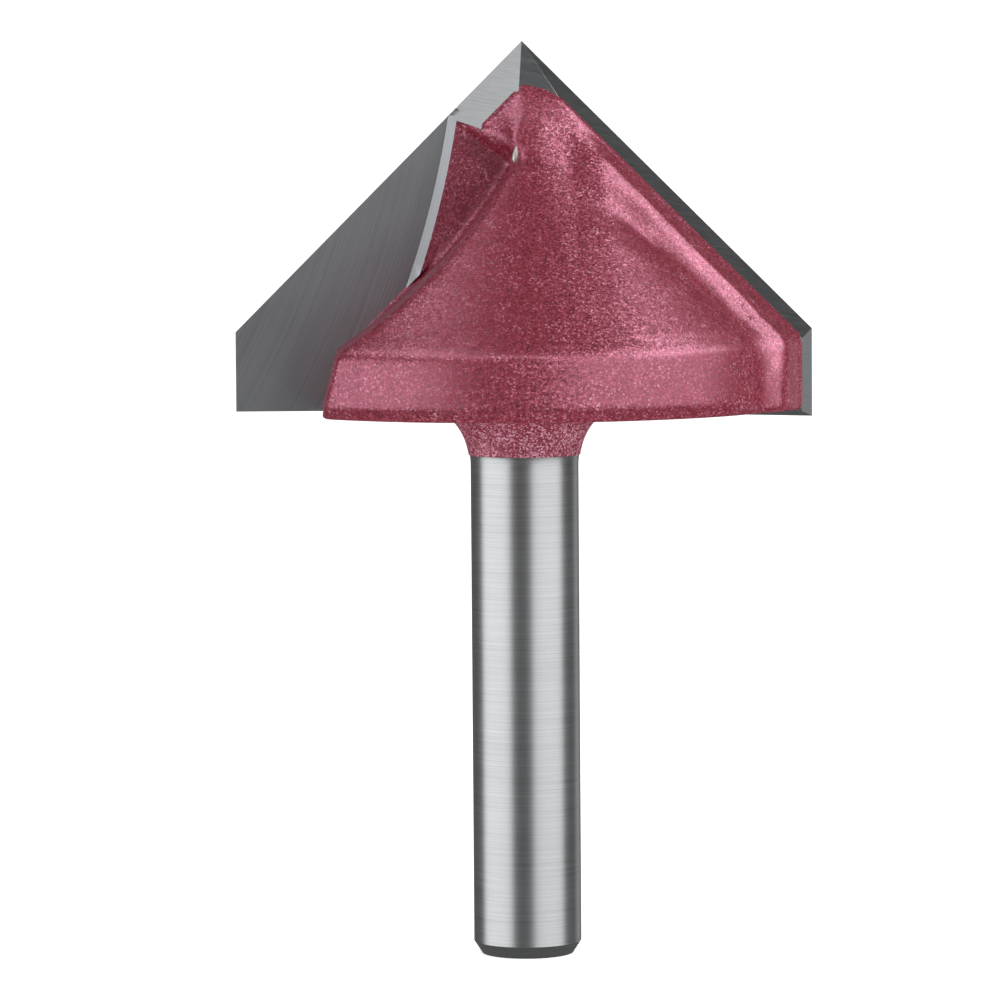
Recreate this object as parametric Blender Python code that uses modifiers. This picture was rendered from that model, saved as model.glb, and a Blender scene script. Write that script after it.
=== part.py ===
"""V groove router bit: a turned and milled steel body that carries two brazed carbide inserts.

The bit stands upright on the flat end of its shank. The origin is the centre of that end, +Z runs
up the axis to the point, and both rake faces lie in the plane y = 0, which is the cutting plane.

Each cutting edge is drawn in its own frame: the edge is on the +X side, its rake face looks to +Y,
and the steel tooth that backs it lies behind it, towards -Y. The long edge uses that frame as it
is. Everything of the short edge hangs on an empty that is turned half a turn about the axis.
"""

import math

import bmesh
import bpy

MM = 0.001

# Overall sizes. Depths are measured down the axis from the point.
OVERALL_LENGTH = 50.8 * MM
V_ANGLE = math.radians(90.0)
CUTTING_RADIUS = 16.0 * MM

# Shank and neck.
SHANK_RADIUS = 3.0 * MM
SHANK_CHAMFER_WIDTH = 0.45 * MM
SHANK_CHAMFER_LENGTH = 0.7 * MM
NECK_LENGTH = 3.15 * MM
NECK_FILLET_RADIUS = 3.65 * MM

# Turned head: a cone that stays inside the cutting cone, with a short cylindrical band under it.
HEAD_BELOW_CORNER = 4.35 * MM
CONE_SET_IN = 1.8 * MM
BAND_SET_IN = 1.0 * MM
BAND_CHAMFER_WIDTH = 0.5 * MM
BAND_CHAMFER_HEIGHT = 0.65 * MM

# Carbide inserts: flat plates with relieved edges.
INSERT_THICKNESS = 2.0 * MM
INSERT_WIDTH = 5.1 * MM
SIDE_EDGE_WIDTH = 6.0 * MM
LONG_SIDE_EDGE = 4.88 * MM
SHORT_SIDE_EDGE = 4.42 * MM
BOTTOM_DISH_ANGLE = math.radians(1.4)
FLANK_RELIEF = math.radians(22.8)
SIDE_RELIEF = math.radians(19.0)
BOTTOM_RELIEF = math.radians(10.0)

# Grinding at the point: the gash that gives the tip its second edge, and a clearance facet.
TIP_GASH_ANGLE = math.radians(48.0)
TIP_FACET_ANGLE = math.radians(53.5)
TIP_FACET_TILT = math.radians(14.0)

# The short insert is ground by a cup wheel, which leaves a raised pad behind an arc shaped step.
PAD_HEIGHT = 0.4 * MM
PAD_STEP_WIDTH = 0.5 * MM
WHEEL_RADIUS = 53.0 * MM
WHEEL_RIM_X = 5.15 * MM
WHEEL_RIM_DEPTH = 9.05 * MM
WHEEL_RIM_ANGLE = math.radians(14.5)

# Seats: the braze film under each plate, and the gaps that keep neighbours apart.
BRAZE_THICKNESS = 0.1 * MM
FILM_CLEARANCE = 0.03 * MM
EDGE_GAP = 0.05 * MM

# Teeth: the steel behind each plate, relieved like the plate and cut off behind by a valley.
NOSE_SET_IN = 0.35 * MM
TOOTH_THICKNESS = 4.3 * MM
LONG_TOOTH_DROP = 0.08 * MM
LONG_TOOTH_DISH = math.radians(2.3)
SHORT_TOOTH_DROP = -0.15 * MM
SHORT_TOOTH_DISH = 0.0
TOOTH_OVERLAP = 0.2 * MM
HEEL_SET_IN = 0.02 * MM
NOSE_REACH = 4.5 * MM
HEEL_THICKNESS = 6.3 * MM
HEEL_HEIGHT = 6.0 * MM
HEEL_WIDTH = 7.0 * MM
VALLEY_RADIUS = 1.8 * MM
VALLEY_SET_IN = 0.82 * MM
VALLEY_OFFSET = 5.87 * MM
SIDE_VALLEY_SET_IN = 1.85 * MM
SIDE_VALLEY_OFFSET = 7.98 * MM
VALLEY_BEND = 3.0 * MM

# Gullets: the open space in front of each rake face, with a bowed and slightly drafted wall.
GULLET_TOP_WIDTH = 4.38 * MM
GULLET_BOW = 0.8 * MM
GULLET_BEND_SET_IN = 5.66 * MM
GULLET_BEND_BELOW_CORNER = 1.0 * MM
GULLET_FOOT_SET_IN = 4.4 * MM
GULLET_WALL_DRAFT = math.radians(1.8)
GULLET_WALL_RISE = math.radians(1.3)
GULLET_END_DRAFT = math.radians(5.0)
GULLET_END_INSET = 0.02 * MM
LONG_GULLET_MARGIN = 0.1 * MM

HALF_ANGLE = V_ANGLE / 2.0
CORNER_DEPTH = CUTTING_RADIUS / math.tan(HALF_ANGLE)
HEAD_DEPTH = CORNER_DEPTH + HEAD_BELOW_CORNER
BAND_RADIUS = CUTTING_RADIUS - BAND_SET_IN
LONG_EDGE_DEPTH = CORNER_DEPTH + LONG_SIDE_EDGE
SHORT_EDGE_DEPTH = CORNER_DEPTH + SHORT_SIDE_EDGE
HEAD_BOTTOM = OVERALL_LENGTH - HEAD_DEPTH
NECK_END = HEAD_BOTTOM - NECK_LENGTH
SEAT_FLOOR = INSERT_THICKNESS + BRAZE_THICKNESS + 2.0 * FILM_CLEARANCE
OUTSIDE = 1.4 * CUTTING_RADIUS
REACH = 0.4 * CUTTING_RADIUS
TURNED_STEPS = 128

# Unit directions in the cutting plane, as (x, z): down the cutting edge, and inward from it.
POINT = (0.0, OVERALL_LENGTH)
EDGE = (math.sin(HALF_ANGLE), -math.cos(HALF_ANGLE))
INWARD = (-math.cos(HALF_ANGLE), -math.sin(HALF_ANGLE))


def clear_scene():
    """Remove the objects that are in the scene."""
    for item in list(bpy.data.objects):
        bpy.data.objects.remove(item, do_unlink=True)


def new_collection(name):
    """Make a collection in the scene."""
    collection = bpy.data.collections.new(name)
    bpy.context.scene.collection.children.link(collection)
    return collection


def new_material(name, color, metallic, roughness):
    """Make a Principled BSDF material."""
    material = bpy.data.materials.new(name)
    material.use_nodes = True
    shader = material.node_tree.nodes["Principled BSDF"]
    shader.inputs["Base Color"].default_value = (*color, 1.0)
    shader.inputs["Metallic"].default_value = metallic
    shader.inputs["Roughness"].default_value = roughness
    return material


def new_object(name, mesh, collection, parent=None):
    """Put a mesh in a collection as a named object that hangs on its parent."""
    item = bpy.data.objects.new(name, mesh)
    collection.objects.link(item)
    item.parent = parent
    return item


def as_cutter(item):
    """Show a shape that only cuts or joins as a wire, and leave it out of the render."""
    item.hide_render = True
    item.display_type = "WIRE"
    return item


def combine(target, tool, operation):
    """Add a Boolean modifier to the target."""
    modifier = target.modifiers.new(operation.title() + " " + tool.name, "BOOLEAN")
    modifier.operation = operation
    modifier.object = tool
    modifier.solver = "EXACT"


def on_edge(along, inward):
    """Give the (x, z) point at a distance along the cutting edge and a distance inward from it."""
    x = POINT[0] + along * EDGE[0] + inward * INWARD[0]
    z = POINT[1] + along * EDGE[1] + inward * INWARD[1]
    return (x, z)


def meet(first, second):
    """Give the point where two lines, each with a point and a direction, cross."""
    (ax, az), (dx, dz) = first[:2]
    (bx, bz), (ex, ez) = second[:2]
    share = ((bx - ax) * ez - (bz - az) * ex) / (dx * ez - dz * ex)
    return (ax + share * dx, az + share * dz)


def outline(sides, depth):
    """Give the corners of a clockwise outline at a depth behind the cutting plane.

    A side is a point, a direction and a slope. The slope is how far the side leans inward for each
    unit of depth: zero is a straight wall, and a relief face has the tangent of its angle.
    """
    moved = []
    for (x, z), (dx, dz), slope in sides:
        length = math.hypot(dx, dz)
        lean = slope * depth / length
        moved.append(((x + dz * lean, z - dx * lean), (dx, dz)))
    return [meet(moved[i - 1], moved[i]) for i in range(len(moved))]


def loft(name, front, back, y_front, y_back, collection, parent=None):
    """Join an outline of (x, z) corners at y_front to one with as many corners at y_back."""
    mesh = bpy.data.meshes.new(name)
    shape = bmesh.new()
    ring = [shape.verts.new((x, y_front, z)) for x, z in front]
    cap = shape.faces.new(ring)
    bmesh.ops.extrude_face_region(shape, geom=[cap], use_keep_orig=True)
    # Each new corner is joined by one edge to the corner of the first ring that it came from.
    for vertex, (x, z) in zip(ring, back):
        ends = [edge.other_vert(vertex) for edge in vertex.link_edges]
        copy = next(end for end in ends if end not in ring)
        copy.co = (x, y_back, z)
    bmesh.ops.recalc_face_normals(shape, faces=shape.faces)
    shape.to_mesh(mesh)
    shape.free()
    return new_object(name, mesh, collection, parent)


def relieved_block(name, sides, y_front, y_back, collection, parent=None):
    """Make a block between two planes, with sides that lean in by their slopes."""
    front = outline(sides, -y_front)
    back = outline(sides, -y_back)
    return loft(name, front, back, y_front, y_back, collection, parent)


def turned(name, profile, collection, parent=None):
    """Turn a profile of (radius, z) points, listed from the top down, about the Z axis."""
    mesh = bpy.data.meshes.new(name)
    shape = bmesh.new()
    corners = [shape.verts.new((radius, 0.0, z)) for radius, z in profile]
    for upper, lower in zip(corners, corners[1:]):
        shape.edges.new((upper, lower))
    shape.to_mesh(mesh)
    shape.free()
    item = new_object(name, mesh, collection, parent)
    screw = item.modifiers.new("Turn", "SCREW")
    screw.axis = "Z"
    screw.angle = 2.0 * math.pi
    screw.steps = TURNED_STEPS
    screw.render_steps = TURNED_STEPS
    screw.use_merge_vertices = True
    screw.merge_threshold = 0.000001
    screw.use_smooth_shade = False
    return item


def edge_sides(edge_depth, dish, foot_slope):
    """Give the cutting edge, side edge and bottom edge that a plate and its tooth share."""
    foot = (CUTTING_RADIUS, OVERALL_LENGTH - edge_depth)
    return [
        (POINT, EDGE, math.tan(FLANK_RELIEF)),
        (foot, (0.0, -1.0), math.tan(SIDE_RELIEF)),
        (foot, (-math.cos(dish), math.sin(dish)), foot_slope),
    ]


def inner_sides(gap):
    """Give the two inner sides of a plate, or of its seat where there is a gap."""
    inner_x = CUTTING_RADIUS - SIDE_EDGE_WIDTH - gap
    return [
        ((inner_x, HEAD_BOTTOM), (0.0, 1.0), 0.0),
        (on_edge(0.0, INSERT_WIDTH + gap), (-EDGE[0], -EDGE[1]), 0.0),
    ]


def opposite_edge(inward, slope):
    """Give the line of the opposite cutting edge, moved inward by a distance."""
    x, z = on_edge(0.0, inward)
    return ((-x, z), (EDGE[0], -EDGE[1]), slope)


def butt_side(gap):
    """Give the top end of the short plate, which faces the inner side of the long plate."""
    return opposite_edge(INSERT_WIDTH + gap, 0.0)


def gullet_wall(gap):
    """Give the bowed wall of a gullet at its floor, from the butt line down past the head.

    With a gap the wall lies nearer to the cutting edge, for what has to stay clear of it.
    """
    slope_line = (on_edge(0.0, GULLET_TOP_WIDTH - gap), EDGE)
    top = meet(slope_line, butt_side(-GULLET_END_INSET))
    bend_depth = CORNER_DEPTH + GULLET_BEND_BELOW_CORNER
    bend = (CUTTING_RADIUS - GULLET_BEND_SET_IN + gap, OVERALL_LENGTH - bend_depth)
    foot = (CUTTING_RADIUS - GULLET_FOOT_SET_IN + gap, HEAD_BOTTOM - REACH / 4.0)
    along = (bend[0] - top[0], bend[1] - top[1])
    chord = math.hypot(*along)
    side = (along[1] / chord, -along[0] / chord)
    steps = 12
    wall = []
    for step in range(steps + 1):
        t = step / steps
        bow = 4.0 * GULLET_BOW * t * (1.0 - t)
        wall.append((top[0] + along[0] * t + side[0] * bow, top[1] + along[1] * t + side[1] * bow))
    return wall + [foot]


def make_steel_blank(collection, root):
    """Turn the head, neck and shank in one piece."""
    cone_bottom = BAND_RADIUS / math.tan(HALF_ANGLE) + CONE_SET_IN
    profile = [
        (0.0, OVERALL_LENGTH - CONE_SET_IN),
        (BAND_RADIUS, OVERALL_LENGTH - cone_bottom),
        (BAND_RADIUS, HEAD_BOTTOM + BAND_CHAMFER_HEIGHT),
        (BAND_RADIUS - BAND_CHAMFER_WIDTH, HEAD_BOTTOM),
    ]
    # The concave neck fillet starts on the head's underside and ends as a tangent on the shank.
    # A fillet with a small radius starts below the head, at the end of a straight neck.
    reach = min(NECK_LENGTH, NECK_FILLET_RADIUS)
    start = math.asin(reach / NECK_FILLET_RADIUS)
    if reach < NECK_LENGTH:
        profile.append((SHANK_RADIUS + NECK_FILLET_RADIUS, HEAD_BOTTOM))
    steps = 10
    for step in range(steps + 1):
        turn = start * (1.0 - step / steps)
        radius = SHANK_RADIUS + NECK_FILLET_RADIUS * (1.0 - math.cos(turn))
        profile.append((radius, NECK_END + NECK_FILLET_RADIUS * math.sin(turn)))
    profile += [
        (SHANK_RADIUS, SHANK_CHAMFER_LENGTH),
        (SHANK_RADIUS - SHANK_CHAMFER_WIDTH, 0.0),
        (0.0, 0.0),
    ]
    return turned("steel_body", profile, collection, root)


def tooth_land(drop, dish, set_in):
    """Give the relieved sides of a tooth, moved inward by a distance.

    The bottom of the tooth is dropped below the head at its outer corner, and rises inward from
    there by the dish angle.
    """
    foot = (CUTTING_RADIUS - set_in, HEAD_BOTTOM - drop + set_in)
    return [
        (on_edge(0.0, set_in), EDGE, math.tan(FLANK_RELIEF)),
        (foot, (0.0, -1.0), math.tan(SIDE_RELIEF)),
        (foot, (-math.cos(dish), math.sin(dish)), 0.0),
    ]


def make_tooth_slab(name, drop, dish, cutters, frame):
    """Make the relieved slab that backs a plate and reaches across the nose."""
    sides = tooth_land(drop, dish, 0.0) + [
        ((-NOSE_REACH, 0.0), (0.0, 1.0), 0.0),
        opposite_edge(-TOOTH_OVERLAP, 0.0),
    ]
    slab = relieved_block(name, sides, TOOTH_OVERLAP, -TOOTH_THICKNESS, cutters, frame)
    return as_cutter(slab)


def make_teeth(cutters, short_frame, facet):
    """Make both slabs as one shape that stays inside the nose's cone and its clearance facet."""
    long_slab = make_tooth_slab("long_tooth", LONG_TOOTH_DROP, LONG_TOOTH_DISH, cutters, None)
    short_slab = make_tooth_slab(
        "short_tooth", SHORT_TOOTH_DROP, SHORT_TOOTH_DISH, cutters, short_frame
    )
    cone_radius = CUTTING_RADIUS + REACH
    cone_foot = cone_radius / math.tan(HALF_ANGLE) + NOSE_SET_IN
    cone_profile = [
        (0.0, OVERALL_LENGTH - NOSE_SET_IN),
        (cone_radius, OVERALL_LENGTH - cone_foot),
        (cone_radius, HEAD_BOTTOM - REACH),
        (0.0, HEAD_BOTTOM - REACH),
    ]
    cone = as_cutter(turned("nose_cone", cone_profile, cutters))
    combine(long_slab, short_slab, "UNION")
    combine(long_slab, cone, "INTERSECT")
    combine(long_slab, facet, "DIFFERENCE")
    return long_slab


def make_heel(name, drop, dish, cutters, frame):
    """Make the thicker block that backs a tooth beside the band."""
    sides = tooth_land(drop, dish, HEEL_SET_IN) + [
        ((CUTTING_RADIUS - HEEL_WIDTH, 0.0), (0.0, 1.0), 0.0),
        ((0.0, HEAD_BOTTOM + HEEL_HEIGHT), (1.0, 0.0), 0.0),
    ]
    heel = relieved_block(name, sides, -TOOTH_THICKNESS / 2.0, -HEEL_THICKNESS, cutters, frame)
    return as_cutter(heel)


def make_seat(name, y_front, ends, cutters, frame):
    """Make the cutter for a plate's seat, which is open to the outside and below."""
    sides = [
        (on_edge(0.0, -REACH), EDGE, 0.0),
        ((OUTSIDE, 0.0), (0.0, -1.0), 0.0),
        ((0.0, HEAD_BOTTOM - REACH), (-1.0, 0.0), 0.0),
    ]
    sides += inner_sides(EDGE_GAP) + ends
    return as_cutter(relieved_block(name, sides, y_front, -SEAT_FLOOR, cutters, frame))


def make_short_gullet(cutters, frame):
    """Make the gullet of the short edge, which ends where the long plate begins."""
    end_line = butt_side(-GULLET_END_INSET)
    start = meet(end_line, (on_edge(0.0, -REACH), EDGE))
    wall = list(reversed(gullet_wall(0.0)))
    floor = [start, (OUTSIDE, start[1]), (OUTSIDE, wall[0][1])] + wall
    # Towards the mouth the wall moves to the axis and up, and the end wall moves to the point.
    wall_shift = OUTSIDE * math.tan(GULLET_WALL_DRAFT)
    wall_rise = OUTSIDE * math.tan(GULLET_WALL_RISE)
    end_shift = OUTSIDE * math.tan(GULLET_END_DRAFT)
    mouth = [(x, z) for x, z in floor[:3]] + [(x - wall_shift, z + wall_rise) for x, z in wall]
    for corner in (0, -1):
        x, z = mouth[corner]
        mouth[corner] = (x - EDGE[0] * end_shift, z - EDGE[1] * end_shift)
    return as_cutter(loft("short_gullet", floor, mouth, PAD_HEIGHT, OUTSIDE, cutters, frame))


def make_long_gullet(cutters):
    """Make the gullet of the long edge, which runs out over the point."""
    wall = gullet_wall(0.0)
    lower = list(reversed(wall[len(wall) // 2:]))
    straight = (on_edge(0.0, INSERT_WIDTH + EDGE_GAP + LONG_GULLET_MARGIN), EDGE)
    over = meet(straight, opposite_edge(-REACH, 0.0))
    top = OVERALL_LENGTH + REACH
    floor = [over, (over[0], top), (OUTSIDE, top), (OUTSIDE, lower[0][1])] + lower
    shift = OUTSIDE * math.tan(GULLET_WALL_DRAFT)
    rise = OUTSIDE * math.tan(GULLET_WALL_RISE)
    mouth = [(x - shift, z) for x, z in floor[:2]] + floor[2:4]
    mouth += [(x - shift, z + rise) for x, z in lower]
    return as_cutter(loft("long_gullet", floor, mouth, 0.0, OUTSIDE, cutters))


def make_tip_gash(cutters):
    """Make the cutter that takes the nose down to the plane of the tip's second rake face."""
    x, z = opposite_edge(0.0, 0.0)[0]
    sides = [
        ((x, z), (-EDGE[0], EDGE[1]), -1.0 / math.tan(TIP_GASH_ANGLE)),
        (on_edge(0.0, INSERT_WIDTH + EDGE_GAP), (-EDGE[0], -EDGE[1]), 0.0),
        opposite_edge(-REACH, 0.0),
        (on_edge(0.0, -REACH), EDGE, 0.0),
    ]
    return as_cutter(relieved_block("tip_gash", sides, EDGE_GAP, -REACH, cutters))


def make_tip_facet(cutters):
    """Make the cutter for the clearance facet, a plane through the point that falls to the back."""
    tilt = (-math.cos(TIP_FACET_TILT), math.sin(TIP_FACET_TILT))
    sides = [
        (POINT, tilt, -math.tan(TIP_FACET_ANGLE)),
        ((-REACH, 0.0), (0.0, 1.0), 0.0),
        ((0.0, OVERALL_LENGTH + REACH), (1.0, 0.0), 0.0),
        ((REACH, 0.0), (0.0, -1.0), 0.0),
    ]
    return as_cutter(relieved_block("tip_facet", sides, EDGE_GAP, -REACH, cutters))


def make_valley(name, cutters, frame):
    """Make the round cutter that runs behind a tooth, down its slope and then down its side."""
    slope = (on_edge(0.0, VALLEY_SET_IN), EDGE)
    side_x = CUTTING_RADIUS - SIDE_VALLEY_SET_IN
    corner_x, corner_z = meet(slope, ((side_x, 0.0), (0.0, -1.0)))
    start_x, start_z = slope[0]
    before = (corner_x - VALLEY_BEND * EDGE[0], -VALLEY_OFFSET, corner_z - VALLEY_BEND * EDGE[1])
    corner = (corner_x, -(VALLEY_OFFSET + SIDE_VALLEY_OFFSET) / 2.0, corner_z)
    after = (corner_x, -SIDE_VALLEY_OFFSET, corner_z - VALLEY_BEND)
    path = [(start_x, -VALLEY_OFFSET, start_z)]
    steps = 8
    for step in range(steps + 1):
        t = step / steps
        parts = zip(before, corner, after)
        path.append([(1.0 - t) ** 2 * a + 2.0 * t * (1.0 - t) * b + t * t * c for a, b, c in parts])
    path.append((corner_x, -SIDE_VALLEY_OFFSET, HEAD_BOTTOM - REACH))
    curve = bpy.data.curves.new(name + "_path", "CURVE")
    curve.dimensions = "3D"
    curve.bevel_depth = VALLEY_RADIUS
    curve.bevel_resolution = 8
    curve.use_fill_caps = True
    spline = curve.splines.new("POLY")
    spline.points.add(len(path) - 1)
    for point, (x, y, z) in zip(spline.points, path):
        point.co = (x, y, z, 1.0)
    guide = new_object(name + "_path", curve, cutters)
    bpy.context.view_layer.update()
    evaluated = guide.evaluated_get(bpy.context.evaluated_depsgraph_get())
    mesh = bpy.data.meshes.new_from_object(evaluated)
    bpy.data.objects.remove(guide, do_unlink=True)
    shape = bmesh.new()
    shape.from_mesh(mesh)
    bmesh.ops.remove_doubles(shape, verts=shape.verts, dist=0.000001)
    bmesh.ops.recalc_face_normals(shape, faces=shape.faces)
    shape.to_mesh(mesh)
    shape.free()
    return as_cutter(new_object(name, mesh, cutters, frame))


def make_long_insert(collection, root, facet):
    """Make the long plate, which crosses the axis and carries the point."""
    sides = edge_sides(LONG_EDGE_DEPTH, BOTTOM_DISH_ANGLE, math.tan(BOTTOM_RELIEF))
    sides += inner_sides(0.0) + [opposite_edge(0.0, 1.0 / math.tan(TIP_GASH_ANGLE))]
    plate = relieved_block("long_insert", sides, 0.0, -INSERT_THICKNESS, collection, root)
    combine(plate, facet, "DIFFERENCE")
    return plate


def make_short_insert(collection, cutters, frame):
    """Make the short plate with the raised pad that the grinding wheel left on its face."""
    sides = edge_sides(SHORT_EDGE_DEPTH, 0.0, math.tan(BOTTOM_RELIEF))
    sides += inner_sides(0.0) + [butt_side(EDGE_GAP)]
    plate = relieved_block("short_insert", sides, 0.0, -INSERT_THICKNESS, collection, frame)
    # The pad follows the gullet's wall, but stays on the plate.
    pad_end = butt_side(EDGE_GAP)
    inner = (on_edge(0.0, INSERT_WIDTH - EDGE_GAP), EDGE)
    kept = []
    for x, z in gullet_wall(EDGE_GAP)[1:-1]:
        inward = (x - POINT[0]) * INWARD[0] + (z - POINT[1]) * INWARD[1]
        spare = min(0.0, INSERT_WIDTH - EDGE_GAP - inward)
        kept.append((x + INWARD[0] * spare, z + INWARD[1] * spare))
    first = meet(pad_end, (kept[0], (kept[1][0] - kept[0][0], kept[1][1] - kept[0][1])))
    if (first[0] - POINT[0]) * INWARD[0] + (first[1] - POINT[1]) * INWARD[1] > INSERT_WIDTH - EDGE_GAP:
        first = meet(pad_end, inner)
    outer = meet(pad_end, (on_edge(0.0, EDGE_GAP), EDGE))
    last = kept[-1]
    rim = meet((on_edge(0.0, EDGE_GAP), EDGE), (last, INWARD))
    corners = [outer, rim, last] + list(reversed(kept[:-1])) + [first]
    pad = as_cutter(
        loft("short_pad", corners, corners, PAD_HEIGHT, -INSERT_THICKNESS / 2.0, cutters, frame)
    )
    # The wheel is a disc with a bevelled rim.
    wheel_height = 2.0 * PAD_HEIGHT
    spread = wheel_height * PAD_STEP_WIDTH / PAD_HEIGHT
    mesh = bpy.data.meshes.new("grinding_wheel")
    shape = bmesh.new()
    bmesh.ops.create_cone(
        shape,
        cap_ends=True,
        segments=360,
        radius1=WHEEL_RADIUS,
        radius2=WHEEL_RADIUS + spread,
        depth=wheel_height,
    )
    shape.to_mesh(mesh)
    shape.free()
    wheel = as_cutter(new_object("grinding_wheel", mesh, cutters, frame))
    wheel.rotation_euler = (-math.pi / 2.0, 0.0, 0.0)
    wheel.location = (
        WHEEL_RIM_X + WHEEL_RADIUS * math.cos(WHEEL_RIM_ANGLE),
        wheel_height / 2.0 - EDGE_GAP / 2.0,
        OVERALL_LENGTH - WHEEL_RIM_DEPTH + WHEEL_RADIUS * math.sin(WHEEL_RIM_ANGLE),
    )
    combine(pad, wheel, "DIFFERENCE")
    combine(plate, pad, "UNION")
    return plate


def make_braze(name, edge_depth, dish, ends, collection, frame):
    """Make the braze film between a plate's back and the floor of its seat."""
    sides = edge_sides(edge_depth, dish, math.tan(BOTTOM_RELIEF)) + inner_sides(0.0) + ends
    top = -INSERT_THICKNESS - FILM_CLEARANCE
    return relieved_block(name, sides, top, top - BRAZE_THICKNESS, collection, frame)


def build():
    """Build the whole bit."""
    clear_scene()
    parts = new_collection("v_groove_router_bit")
    cutters = new_collection("cutters")
    root = new_object("router_bit", None, parts)
    short_frame = new_object("short_edge_frame", None, parts, root)
    short_frame.rotation_euler = (0.0, 0.0, math.pi)

    body = make_steel_blank(parts, root)
    facet = make_tip_facet(cutters)
    teeth = make_teeth(cutters, short_frame, facet)
    long_heel = make_heel("long_heel", LONG_TOOTH_DROP, LONG_TOOTH_DISH, cutters, None)
    short_heel = make_heel("short_heel", SHORT_TOOTH_DROP, SHORT_TOOTH_DISH, cutters, short_frame)
    for block in (teeth, long_heel, short_heel):
        combine(body, block, "UNION")

    long_gullet = make_long_gullet(cutters)
    short_gullet = make_short_gullet(cutters, short_frame)
    long_seat = make_seat("long_seat", EDGE_GAP, [opposite_edge(-REACH, 0.0)], cutters, None)
    short_front = PAD_HEIGHT + EDGE_GAP
    short_seat = make_seat("short_seat", short_front, [butt_side(0.0)], cutters, short_frame)
    gash = make_tip_gash(cutters)
    long_valley = make_valley("long_valley", cutters, None)
    short_valley = make_valley("short_valley", cutters, short_frame)
    for cutter in (long_valley, short_valley, long_gullet, short_gullet, long_seat, short_seat, gash):
        combine(body, cutter, "DIFFERENCE")

    long_insert = make_long_insert(parts, root, facet)
    short_insert = make_short_insert(parts, cutters, short_frame)
    gash_end = opposite_edge(0.0, 1.0 / math.tan(TIP_GASH_ANGLE))
    long_braze = make_braze(
        "long_braze", LONG_EDGE_DEPTH, BOTTOM_DISH_ANGLE, [gash_end], parts, root
    )
    combine(long_braze, facet, "DIFFERENCE")
    short_braze = make_braze(
        "short_braze", SHORT_EDGE_DEPTH, 0.0, [butt_side(EDGE_GAP)], parts, short_frame
    )

    paint = new_material("crimson_metallic_paint", (0.32, 0.035, 0.065), 0.35, 0.4)
    carbide = new_material("tungsten_carbide", (0.28, 0.29, 0.3), 1.0, 0.35)
    silver = new_material("silver_braze", (0.75, 0.72, 0.62), 1.0, 0.4)
    body.data.materials.append(paint)
    for plate in (long_insert, short_insert):
        plate.data.materials.append(carbide)
    for film in (long_braze, short_braze):
        film.data.materials.append(silver)
    bpy.context.view_layer.update()


build()
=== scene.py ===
# %% [markdown]
# # A V groove router bit
# This bit cuts a right-angled groove. A slim ground shank carries a wide conical steel head. Two
# carbide plates are brazed into the head, and they meet in a point. The head is coated in
# crimson paint with a metal flake, which stops where the carbide was ground afterwards.
#
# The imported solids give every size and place. This file dresses them: it adds the rounded coat of
# paint, the ground finishes, the bead of braze, a camera and a plain studio.

import bmesh
import bpy
import numpy as np
from math import cos, exp, pi, radians, sin, sqrt, tan
from mathutils import Matrix, Vector


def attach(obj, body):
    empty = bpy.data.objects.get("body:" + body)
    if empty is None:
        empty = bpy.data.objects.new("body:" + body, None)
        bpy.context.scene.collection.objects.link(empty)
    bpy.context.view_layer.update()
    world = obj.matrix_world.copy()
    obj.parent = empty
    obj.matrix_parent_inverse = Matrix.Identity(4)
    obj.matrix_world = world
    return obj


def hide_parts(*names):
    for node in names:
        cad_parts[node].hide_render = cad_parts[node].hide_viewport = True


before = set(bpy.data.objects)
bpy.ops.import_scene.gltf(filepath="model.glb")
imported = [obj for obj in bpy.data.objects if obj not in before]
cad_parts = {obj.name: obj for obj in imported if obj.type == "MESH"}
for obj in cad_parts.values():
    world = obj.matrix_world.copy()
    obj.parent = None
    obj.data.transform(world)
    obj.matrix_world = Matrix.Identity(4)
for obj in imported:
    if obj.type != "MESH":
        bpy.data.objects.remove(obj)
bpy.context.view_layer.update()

# %% [markdown]
# ## Sizes
# These lengths are the ones that the solids were made from. They are written here once, because
# several pieces below have to meet each other to within a tenth of a millimetre.

# %% Sizes of the bit
MM = 0.001
OVERALL_LENGTH = 50.8 * MM
CUTTING_RADIUS = 16.0 * MM
SHANK_RADIUS = 3.0 * MM
SHANK_CHAMFER_WIDTH = 0.45 * MM
SHANK_CHAMFER_LENGTH = 0.7 * MM
HEAD_BOTTOM = 30.45 * MM
NECK_LENGTH = 3.15 * MM
NECK_FILLET_RADIUS = 3.65 * MM
NECK_END = HEAD_BOTTOM - NECK_LENGTH
PAINT_END = NECK_END + 0.6 * MM
PAD_HEIGHT = 0.4 * MM
print("the coat of paint ends", round(PAINT_END / MM, 2), "mm above the end of the shank")

# %% [markdown]
# ## Camera
# The bit stands upright and is seen from a little above its head, from about 29 cm away, with a
# long lens. It leans less than half a degree in the picture, so the camera is rolled by that much.

# %% Camera
CAMERA_PLACE = (-1.38 * MM, -286.0 * MM, 46.5 * MM)
LOOK_DOWN = 4.228
ROLL = -0.42
lens = bpy.data.cameras.new("studio_camera")
lens.sensor_width = 36.0
lens.lens = 185.6
lens.clip_start = 0.01
lens.clip_end = 20.0
camera = bpy.data.objects.new("studio_camera", lens)
bpy.context.scene.collection.objects.link(camera)
place = Matrix.Translation(CAMERA_PLACE)
pitch = Matrix.Rotation(radians(90.0 - LOOK_DOWN), 4, "X")
roll = Matrix.Rotation(radians(ROLL), 4, "Z")
camera.matrix_world = place @ pitch @ roll
bpy.context.scene.camera = camera
print("camera stands", round(-place.translation.y / MM), "mm in front of the axis")

# %% [markdown]
# ## Studio
# The picture has a plain white ground. One sheet makes the floor and the wall behind, with a wide
# bend between them, so that no horizon shows. It starts as a short line of vertices that is
# extruded sideways.

# %% Floor and wall in one sheet
BEND_STEPS = 16


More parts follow.
